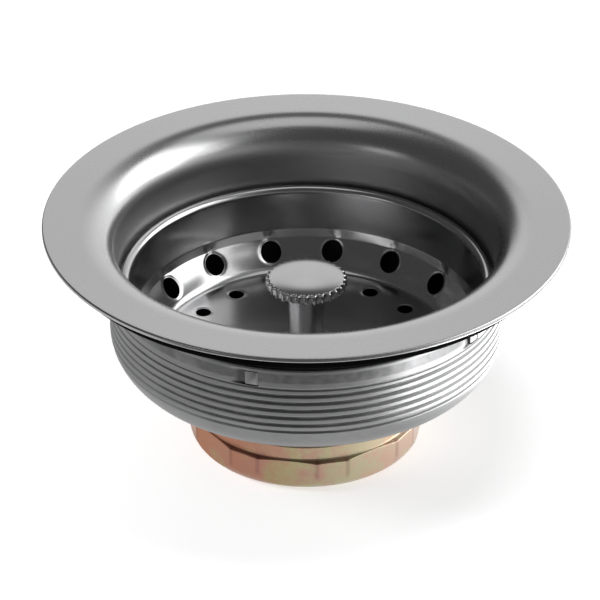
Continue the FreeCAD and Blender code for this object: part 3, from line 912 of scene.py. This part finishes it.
def make_shank():
    outside = shank_outside()
    rows = np.array(outside + shank_inside())
    slot = np.linspace(-SLOT_HALF, SLOT_HALF, SLOT_COLUMNS + 1)[:-1]
    panel = np.linspace(SLOT_HALF, WINDOW_STEP - SLOT_HALF, PANEL_COLUMNS + 1)[:-1]
    pattern = SLOT_SHIFT + np.concatenate([slot, panel])
    angles = np.concatenate([SHANK_TURN + k * WINDOW_STEP + pattern for k in range(WINDOW_COUNT)])
    in_slot = np.tile(np.arange(len(pattern)) < SLOT_COLUMNS, WINDOW_COUNT)
    radius, height, out_r, out_z, run = (rows[:, k][:, None] for k in range(5))
    depth = shank_relief(run, angles)
    vertices = spin(radius - depth * out_r, angles, height - depth * out_z)

    count = len(rows)
    columns = len(angles)
    wall_outside = [i for i in range(len(outside)) if rows[i, 4] < OFF_WALL]
    wall_inside = [i for i in range(len(outside), count) if rows[i, 0] > SHANK_INSIDE - SAME_RADIUS]

    def row_at(level, wall):
        return next(i for i in wall if abs(rows[i, 1] - level) < SAME_HEIGHT)

    out_top = row_at(WINDOW_TOP, wall_outside)
    out_foot = row_at(WINDOW_FOOT, wall_outside)
    in_foot = row_at(WINDOW_FOOT, wall_inside)
    in_top = row_at(WINDOW_TOP, wall_inside)
    cut_rows = set(range(out_top, out_foot)) | set(range(in_foot, in_top))
    faces = []

    def add_quads(first, second, wanted):
        """Quads between two rows, in the columns that are wanted."""
        a = first * columns
        b = second * columns
        for j in np.flatnonzero(wanted).tolist():
            k = (j + 1) % columns
            faces.append((a + j, a + k, b + k, b + j))

    for i in range(count):
        add_quads(i, (i + 1) % count, ~in_slot if i in cut_rows else np.ones(columns))
    for first, second in ((out_top, in_top), (out_foot, in_foot)):
        add_quads(first, second, in_slot)
    loop = [*range(out_top, out_foot + 1), *range(in_foot, in_top + 1)]
    for k in range(WINDOW_COUNT):
        for j in (k * len(pattern), k * len(pattern) + SLOT_COLUMNS):
            faces.append(tuple(i * columns + j for i in loop))
    piece(
        "shank", "drain_body", rolled, vertices, faces, ["threaded_shank"],
        sharp=SHANK_SHARP_ANGLE,
    )


# Slip nut with wide and narrow flats
def nut_columns():
    """Angles round the nut and the flats' distance from the axis at each."""
    corners = []
    for k in range(NUT_PAIRS):
        centre = NUT_TURN + k * NUT_STEP
        corners += [centre - NUT_NARROW / 2, centre + NUT_NARROW / 2]
    angles, flats = [], []
    for k, a in enumerate(corners):
        width = (corners[(k + 1) % len(corners)] - a) % TAU
        for t in np.arange(NUT_FLAT_COLUMNS) / NUT_FLAT_COLUMNS:
            angles.append(a + t * width)
            flats.append(NUT_CORNER * math.cos(width / 2) / math.cos((t - 0.5) * width))
    return np.array(angles), flats


def nut_profile(flat):
    """Outline of the nut from its base up a flat, over the collar and down the bore."""
    slope = (COLLAR_FOOT - SHOULDER_FOOT) / (NUT_CORNER - COLLAR_RADIUS)
    base_r = NUT_CORNER - NUT_BASE_ROUND
    side = math.acos(np.clip((flat - base_r) / NUT_BASE_ROUND, -1, 1))
    base = [
        (base_r + NUT_BASE_ROUND * math.sin(t), NUT_BASE_ROUND - NUT_BASE_ROUND * math.cos(t))
        for t in np.linspace(0, math.pi / 2 - side, NUT_BASE_ROWS)
    ]
    foot = base[-1][1]
    top = SHOULDER_FOOT + (NUT_CORNER - flat) * slope
    wall = [
        (flat, foot + (top - NUT_EDGE - foot) * t)
        for t in np.linspace(0, 1, NUT_WALL_ROWS)[1:]
    ]
    fillet_r = COLLAR_RADIUS + COLLAR_FILLET
    fillet_z = COLLAR_FOOT - COLLAR_FILLET * slope
    edge_r = flat - NUT_EDGE
    edge_z = top + NUT_EDGE * slope
    shoulder = [
        (edge_r + (fillet_r - edge_r) * t, edge_z + (fillet_z - edge_z) * t)
        for t in np.linspace(0, 1, NUT_SHOULDER_ROWS)
    ]
    fillet = [
        (fillet_r - COLLAR_FILLET * math.sin(t), fillet_z + COLLAR_FILLET * (1 - math.cos(t)))
        for t in np.linspace(0, math.pi / 2, NUT_FILLET_ROWS)[1:-1]
    ]
    collar = rounded([
        (COLLAR_RADIUS, fillet_z + COLLAR_FILLET),
        (COLLAR_RADIUS, NUT_HEIGHT, COLLAR_EDGE),
        (NUT_BORE, NUT_HEIGHT, NUT_BORE_EDGE),
        (NUT_BORE, NUT_LIP),
        (TAIL_HOLE, NUT_LIP, TAIL_HOLE_TOP_EDGE),
        (TAIL_HOLE, 0.0, TAIL_HOLE_FOOT_EDGE),
        (base_r, 0.0),
    ], closed=False)
    return [(TAIL_HOLE + NUT_BASE_START, 0.0), *base, *wall, *shoulder, *fillet, *collar[:-1]]


def make_nut():
    angles, flats = nut_columns()
    profiles = np.array([nut_profile(flat) for flat in flats]).transpose(1, 0, 2)
    vertices = spin(profiles[:, :, 0], angles, profiles[:, :, 1])
    faces = grid_faces(len(profiles), len(angles), True)
    piece(
        "nut", "slip_nut", yellow_zinc, vertices, faces, ["slip_nut"],
        sharp=NUT_SHARP_ANGLE,
    )


# Basket pressed from one sheet, with punched holes
class BasketSheet:
    """The sheet's inner face, by the run along its profile and the angle."""

    def __init__(self):
        self.vertices = []
        self.faces = []
        self.profile = rounded([
            (STEM_HOLE, BOSS_TOP),
            (BOSS_RADIUS, BOSS_TOP, BOSS_BEND),
            (BOSS_RADIUS + BOSS_FLARE, BASKET_FLOOR, BOSS_BEND),
            (BASKET_FLOOR_RADIUS, BASKET_FLOOR, FLOOR_BEND),
            (*STEP_FOOT, STEP_BEND),
            (*STEP_TOP, STEP_BEND),
            (WALL_TOP_RADIUS, RIM_TOP, RIM_INNER_ROUND),
            (RIM_RADIUS, RIM_TOP, RIM_OUTER_ROUND),
            (RIM_RADIUS, RIM_FOOT),
        ], closed=False)
        lengths = np.linalg.norm(np.diff(self.profile, axis=0), axis=1)
        self.run = np.concatenate([[0.0], np.cumsum(lengths)])
        self.floor_mid = self.run_at(FLOOR_HOLE_RING, BASKET_FLOOR)
        self.band_mid = self.run_at(
            BASKET_FLOOR_RADIUS + (WALL_FOOT_RADIUS - BASKET_FLOOR_RADIUS) * BAND_HOLE_SHARE,
            BASKET_FLOOR + (WALL_FOOT - BASKET_FLOOR) * BAND_HOLE_SHARE,
        )
        self.dent_mid = self.band_mid + BAND_HOLE * BAND_HOLE_STRETCH + DENT_ABOVE_HOLE

    def along(self, s):
        """Radius and height at a run."""
        return np.interp(s, self.run, self.profile[:, 0]), np.interp(s, self.run, self.profile[:, 1])

    def run_at(self, r, z):
        """Run of the profile's point nearest to a radius and height."""
        runs = np.linspace(0, self.run[-1], RUN_SAMPLES)
        near_r, near_z = self.along(runs)
        return runs[np.argmin((near_r - r) ** 2 + (near_z - z) ** 2)]

    def points(self, theta, s, lift):
        """Points lifted off the sheet, with its dents above the holes and bulges between them."""
        r, z = self.along(s)
        r0, z0 = self.along(s - RUN_STEP)
        r1, z1 = self.along(s + RUN_STEP)
        length = np.hypot(r1 - r0, z1 - z0)
        u = from_nearest(theta, HOLE_STEP)
        dent = np.exp(-((u * r / DENT_WIDTH) ** 2) - ((s - self.dent_mid) / DENT_HEIGHT) ** 2)
        between = 0.5 - 0.5 * np.cos(TAU * u / HOLE_STEP)
        bulge = between * np.exp(-(((s - self.band_mid) / BAND_BULGE_SPREAD) ** 2))
        lift = lift - DENT_DEPTH * dent + BAND_BULGE * bulge
        return spin(r - (z1 - z0) / length * lift, theta + BASKET_TURN, z + (r1 - r0) / length * lift)

    def plain_strip(self, s0, s1):
        """Rings of the sheet between two runs."""
        knots = [s0, *(s for s in self.run if s0 + RUN_GAP < s < s1 - RUN_GAP), s1]
        runs = dense(np.array(knots)[:, None], BASKET_ROW_GAP, closed=False)
        theta = np.arange(HOLE_COUNT * HOLE_ACROSS) * HOLE_STEP / HOLE_ACROSS - HOLE_STEP / 2
        start = len(self.vertices)
        s_grid, t_grid = np.meshgrid(runs[:, 0], theta, indexing="ij")
        self.vertices.extend(self.points(t_grid, s_grid, 0.0))
        self.faces.extend(grid_faces(len(runs), len(theta), False, start))

    def holed_strip(self, s0, s1, middle, radius, stretch, roll):
        """The sheet between two runs, with a ring of holes whose edges roll away."""
        side = np.arange(HOLE_ACROSS) / HOLE_ACROSS
        rise = np.arange(HOLE_DOWN) / HOLE_DOWN
        half_across = np.full(HOLE_DOWN, 0.5)
        across = np.concatenate([side - 0.5, half_across, 0.5 - side, -half_across])
        up = np.concatenate([np.zeros(HOLE_ACROSS), rise, np.ones(HOLE_ACROSS), 1 - rise])
        s_edge = s0 + (s1 - s0) * up
        u_edge = across * HOLE_STEP * self.along(s_edge)[0]
        v_edge = s_edge - middle
        turn = np.arctan2(v_edge, u_edge)
        shares = 1 - (1 - np.linspace(0, 1, HOLE_RINGS)) ** HOLE_RING_CROWDING
        for k in range(HOLE_COUNT):
            start = len(self.vertices)
            for t in shares:
                u = u_edge * (1 - t) + radius * np.cos(turn) * t
                v = v_edge * (1 - t) + radius * stretch * np.sin(turn) * t
                s = middle + v
                theta = u / self.along(s)[0]
                gap = np.hypot(u, v / stretch) - radius
                lift = -roll * np.exp(-((gap / HOLE_ROLL_WIDTH) ** 2))
                self.vertices.extend(self.points(theta + k * HOLE_STEP, s, lift))
            self.faces.extend(grid_faces(HOLE_RINGS, len(across), False, start))


def make_basket():
    sheet = BasketSheet()
    floor_start = sheet.floor_mid - FLOOR_STRIP_HALF
    floor_end = sheet.floor_mid + FLOOR_STRIP_HALF
    band_start = sheet.band_mid - BAND_STRIP_BELOW
    band_end = sheet.band_mid + BAND_STRIP_ABOVE
    sheet.plain_strip(0.0, floor_start)
    sheet.holed_strip(floor_start, floor_end, sheet.floor_mid, FLOOR_HOLE, 1.0, FLOOR_HOLE_ROLL)
    sheet.plain_strip(floor_end, band_start)
    sheet.holed_strip(band_start, band_end, sheet.band_mid, BAND_HOLE, BAND_HOLE_STRETCH, BAND_HOLE_ROLL)
    sheet.plain_strip(band_end, sheet.run[-1])
    basket = piece(
        "basket", "basket", polished, sheet.vertices, sheet.faces, ["strainer_basket"],
    )
    thicken(basket, BASKET_SHEET)


# Post and knob
def make_post():
    tip = low("basket_post").z
    collar_top = BOSS_TOP + POST_COLLAR_HEIGHT
    profile = rounded([
        (0.0, tip),
        (STEM_RADIUS, tip, STEM_TIP_ROUND),
        (STEM_RADIUS, BOSS_TOP),
        (POST_COLLAR_RADIUS, BOSS_TOP, POST_COLLAR_EDGE),
        (POST_COLLAR_RADIUS, collar_top, POST_COLLAR_EDGE),
        (POST_FOOT_RADIUS, BOSS_TOP + POST_COLLAR_SLOPE),
        (POST_TOP_RADIUS, POST_TOP),
        (0.0, POST_TOP),
    ], closed=False)
    vertices, faces = turned(dense(profile, POST_ROW_GAP, closed=False), even(POST_COLUMNS), closed=False)
    piece("post", "basket", polished, vertices, faces, ["basket_post"])


def make_knob():
    angles = even(SCALLOPS * SCALLOP_COLUMNS)
    local = from_nearest(angles, TAU / SCALLOPS)
    centre = KNOB_RADIUS + SCALLOP_RADIUS - SCALLOP_DEPTH
    inside = SCALLOP_RADIUS ** 2 - (centre * np.sin(local)) ** 2
    scallop = centre * np.cos(local) - np.sqrt(np.maximum(inside, 0))
    dip = np.where(inside > 0, np.maximum(KNOB_RADIUS - scallop, 0), 0)
    top = POST_TOP + KNOB_SIDE
    # Radius, height and share of the scallops' dip, from the underside up over the edge
    rings = [
        (POST_TOP_RADIUS * KNOB_UNDERSIDE, POST_TOP, 0.0),
        (KNOB_RADIUS - 1.2, POST_TOP, 0.0),
        (KNOB_RADIUS - 0.3, POST_TOP, 1.0),
        (KNOB_RADIUS, POST_TOP + 0.3, 1.0),
        (KNOB_RADIUS, POST_TOP + 1.0, 1.0),
        (KNOB_RADIUS, top - 0.55, 1.0),
        (KNOB_RADIUS - 0.06, top - 0.32, 1.0),
        (KNOB_RADIUS - 0.2, top - 0.14, 0.9),
        (KNOB_RADIUS - 0.42, top - 0.03, 0.6),
        (KNOB_RADIUS - 0.62, top + 0.02, 0.25),
    ]
    for share in np.linspace(1, 0, KNOB_PLATEAU_ROWS):
        fall = KNOB_PLATEAU_RISE * share ** KNOB_PLATEAU_POWER
        rings.append((KNOB_PLATEAU * share, top + KNOB_CROWN - fall, 0.0))
    radius, height, share = (np.array(column)[:, None] for column in zip(*rings))
    vertices = spin(radius - dip * share, angles, height)
    faces = grid_faces(len(rings), len(angles), False)
    faces.append(tuple(range(len(angles))))
    piece(
        "knob", "basket", knob_steel, vertices, faces, ["basket_knob"],
        sharp=KNOB_SHARP_ANGLE,
    )


make_cup()
make_gasket()
make_shank()
make_nut()
make_basket()
make_post()
make_knob()


# Floor: what the camera sees, and the painted light and painted shadow that the metal mirrors in it, in
# metres
FLOOR_HALF = 4
FLOOR_DROP = -0.00005
FLOOR_DARK = (0.80, 0.80, 0.80)
FLOOR_LIGHT = (0.82, 0.82, 0.82)
FLOOR_CLOUD_SCALE = 3.0
FLOOR_GLOW = 0.60
MIRRORED_NEAR = (-0.125, -0.088)
MIRRORED_FAR = 0.12
MIRRORED_LEFT = 0.85
MIRRORED_RIGHT = 1.00
MIRRORED_RIGHTWARD = (-0.02, 0.05)
MIRRORED_PAINTED_SHADOW = (0.025, 0.06)
MIRRORED_PAINTED_SHADOW_SHARE = 0.8
MIRRORED_BESIDE = 0.5
MIRRORED_BESIDE_START = (0.028, 0.05)
MIRRORED_BESIDE_END = (0.09, 0.07)
MIRRORED_BESIDE_FRONT = (-0.075, -0.05)
MIRRORED_PAINTED_SHADE_BEHIND_CARD = -0.6
MIRRORED_CARD_EDGE = (-0.052, -0.075)


def painted_floor_reflection(n):
    """Strength of the floor's glow as the metal mirrors it: a painted reflection with painted light to
    the right and near the object, and painted shade and shadow elsewhere.
    """
    x, y, _ = n.split(n.place)
    radius, _, _ = n.polar()
    # Painted light: the mirrored floor is paler towards the right.
    rightward = n.times(n.edge(x, *MIRRORED_RIGHTWARD), MIRRORED_RIGHT - MIRRORED_LEFT)
    # Painted light: a paler patch of floor to the right beside the object.
    beside = n.times(
        n.edge(x, *MIRRORED_BESIDE_START),
        n.edge(x, *MIRRORED_BESIDE_END),
        n.edge(y, *MIRRORED_BESIDE_FRONT),
        MIRRORED_BESIDE,
    )
    # Painted shade: darker floor to the left, behind the card.
    painted_shade_behind_card = n.times(n.edge(x, *MIRRORED_CARD_EDGE), MIRRORED_PAINTED_SHADE_BEHIND_CARD)
    pale = n.plus(rightward, beside, painted_shade_behind_card, MIRRORED_LEFT)
    # Painted shadow: darker floor under the object.
    around = n.times(n.edge(radius, *MIRRORED_PAINTED_SHADOW), 1 - MIRRORED_PAINTED_SHADOW_SHARE)
    pale = n.times(pale, n.plus(around, MIRRORED_PAINTED_SHADOW_SHARE))
    # Painted light near the object, fading to a darker floor in front.
    return n.plus(n.times(n.edge(y, *MIRRORED_NEAR), pale), MIRRORED_FAR)


def make_floor():
    """Pale floor that takes the shadow, that the metal sees as a painted reflection, and that is clear
    from below.
    """
    corners = [(-1, -1), (1, -1), (1, 1), (-1, 1)]
    mesh = bpy.data.meshes.new("floor")
    places = [(x * FLOOR_HALF, y * FLOOR_HALF, FLOOR_DROP) for x, y in corners]
    mesh.from_pydata(places, [], [(0, 1, 2, 3)])
    floor = bpy.data.objects.new("floor", mesh)
    bpy.context.scene.collection.objects.link(floor)
    n = new_material("floor")
    cloud = n.noise(n.place, FLOOR_CLOUD_SCALE)
    n.set(Base_Color=n.tones(cloud, FLOOR_DARK, FLOOR_LIGHT), Roughness=0.9)
    path = n.add("ShaderNodeLightPath").outputs
    glow = n.add("ShaderNodeEmission")
    n.link(n.times(path["Is Camera Ray"], FLOOR_GLOW), glow.inputs["Strength"])
    lit = n.add("ShaderNodeAddShader")
    n.link(n.shader.outputs[0], lit.inputs[0])
    n.link(glow.outputs[0], lit.inputs[1])
    # Painted reflection: for glossy and transmission rays the floor is a glow with painted light and
    # shadow.
    painted_reflection = n.add("ShaderNodeEmission")
    n.link(painted_floor_reflection(n), painted_reflection.inputs["Strength"])
    upper = n.add("ShaderNodeMixShader")
    n.link(n.math("MAXIMUM", path["Is Glossy Ray"], path["Is Transmission Ray"]), upper.inputs[0])
    n.link(lit.outputs[0], upper.inputs[1])
    n.link(painted_reflection.outputs[0], upper.inputs[2])
    one_sided = n.add("ShaderNodeMixShader")
    n.link(n.surface("Backfacing"), one_sided.inputs[0])
    n.link(upper.outputs[0], one_sided.inputs[1])
    n.link(n.add("ShaderNodeBsdfTransparent").outputs[0], one_sided.inputs[2])
    n.link(one_sided.outputs[0], n.tree.nodes["Material Output"].inputs["Surface"])
    mesh.materials.append(n.owner)


# World: soft steps by direction, and how bright each part is
WORLD_BASE = 0.09
WORLD_BACKDROP = 0.95
WORLD_SIDE = 0.35
WORLD_LEFT = 0.08
WORLD_FRONT = 0.07


def make_world():
    """Pale backdrop low behind the object, a paler right side and faint glows. The camera sees white."""
    n = Nodes(bpy.data.worlds.new("studio"), "Background", "Generated")
    bpy.context.scene.world = n.owner
    x, y, z = n.split(n.place)
    level = n.plus(
        n.times(n.edge(y, 0.15, 0.45), n.edge(z, 0.70, 0.58), n.edge(x, -0.50, -0.25), WORLD_BACKDROP),
        n.times(n.edge(x, 0.10, 0.80), n.edge(z, 0.70, 0.25), WORLD_SIDE),
        n.times(n.edge(x, -0.60, -0.90), n.edge(z, 0.28, 0.12), WORLD_LEFT),
        n.times(n.edge(y, -0.40, -0.75), n.edge(z, 0.60, 0.35), WORLD_FRONT),
        WORLD_BASE,
    )
    path = n.add("ShaderNodeLightPath").outputs
    n.set(Color=n.math("MAXIMUM", level, path["Is Camera Ray"]))


def area_light(name, place, aim, width, height, power, glossy=True, diffuse=True):
    light = bpy.data.lights.new(name, "AREA")
    light.shape = "RECTANGLE"
    light.size = width
    light.size_y = height
    light.energy = power
    obj = bpy.data.objects.new(name, light)
    bpy.context.scene.collection.objects.link(obj)
    obj.location = place
    obj.rotation_mode = "QUATERNION"
    obj.rotation_quaternion = (Vector(aim) - Vector(place)).to_track_quat("-Z", "Y")
    obj.visible_camera = False
    obj.visible_glossy = glossy
    obj.visible_diffuse = diffuse


# Lights: name, place, aim, width, height and power
PART_MIDDLE = (0, 0, 0.03)
METAL_LIGHTS = (
    ("right_softbox", (0.55, 0.15, 0.45), PART_MIDDLE, 0.64, 0.54, 2.8),
    ("top_panel", (0.05, 0.18, 0.90), (0.05, 0.18, 0.0), 0.5, 0.54, 0.70),
    ("right_glow", (0.62, -0.04, 0.58), PART_MIDDLE, 0.9, 0.9, 0.6),
    ("right_window", (0.536, -0.25, 0.462), PART_MIDDLE, 0.24, 0.24, 0.22),
    ("left_window", (-0.56, -0.56, 0.32), PART_MIDDLE, 0.30, 0.14, 0.15),
    ("low_panel", (0.071, -0.012, 0.004), (0.071, -0.012, 1.0), 0.036, 0.12, 0.080),
    ("low_screen", (0.30, 0.02, 0.022), (0.0, 0.02, 0.022), 0.40, 0.044, 0.20),
    ("left_card", (-0.072, -0.02, 0.024), (0.0, -0.02, 0.024), 0.10, 0.048, 0.0074),
)
FLOOR_LIGHTS = (
    ("key", (0.158, -0.05, 0.9), (0, 0, 0), 0.25, 0.25, 2.3),
    ("left_fill", (-0.33, -0.08, 0.22), (-0.05, -0.03, 0), 0.15, 0.15, 0.80),
)

make_floor()
make_world()
for row in METAL_LIGHTS:
    area_light(*row, diffuse=False)
for row in FLOOR_LIGHTS:
    area_light(*row, glossy=False)

# Camera, fitted to the photograph
ELEVATION = math.radians(30.08)
DISTANCE = 0.972
FOCAL_PIXELS = 4500.0
IMAGE_SIDE = 600.0
TARGET_PIXEL = (306.4, 219.7)
SENSOR = 36.0
CLIP_START = 0.01
target = Vector((0, 0, FLANGE_TOP * MM))
back = Vector((0, -math.cos(ELEVATION), math.sin(ELEVATION)))
up = Vector((0, math.sin(ELEVATION), math.cos(ELEVATION)))
right = Vector((1, 0, 0))
camera_data = bpy.data.cameras.new("camera")
camera = bpy.data.objects.new("camera", camera_data)
bpy.context.scene.collection.objects.link(camera)
bpy.context.scene.camera = camera
camera_data.sensor_width = SENSOR
camera_data.lens = FOCAL_PIXELS * SENSOR / IMAGE_SIDE
camera_data.clip_start = CLIP_START
camera.location = target + back * DISTANCE
per_pixel = DISTANCE / FOCAL_PIXELS
aim = target - right * (TARGET_PIXEL[0] - IMAGE_SIDE / 2) * per_pixel
aim += up * (TARGET_PIXEL[1] - IMAGE_SIDE / 2) * per_pixel
camera.rotation_mode = "QUATERNION"
camera.rotation_quaternion = (aim - camera.location).to_track_quat("-Z", "Y")

bpy.context.scene.view_settings.view_transform = "Standard"
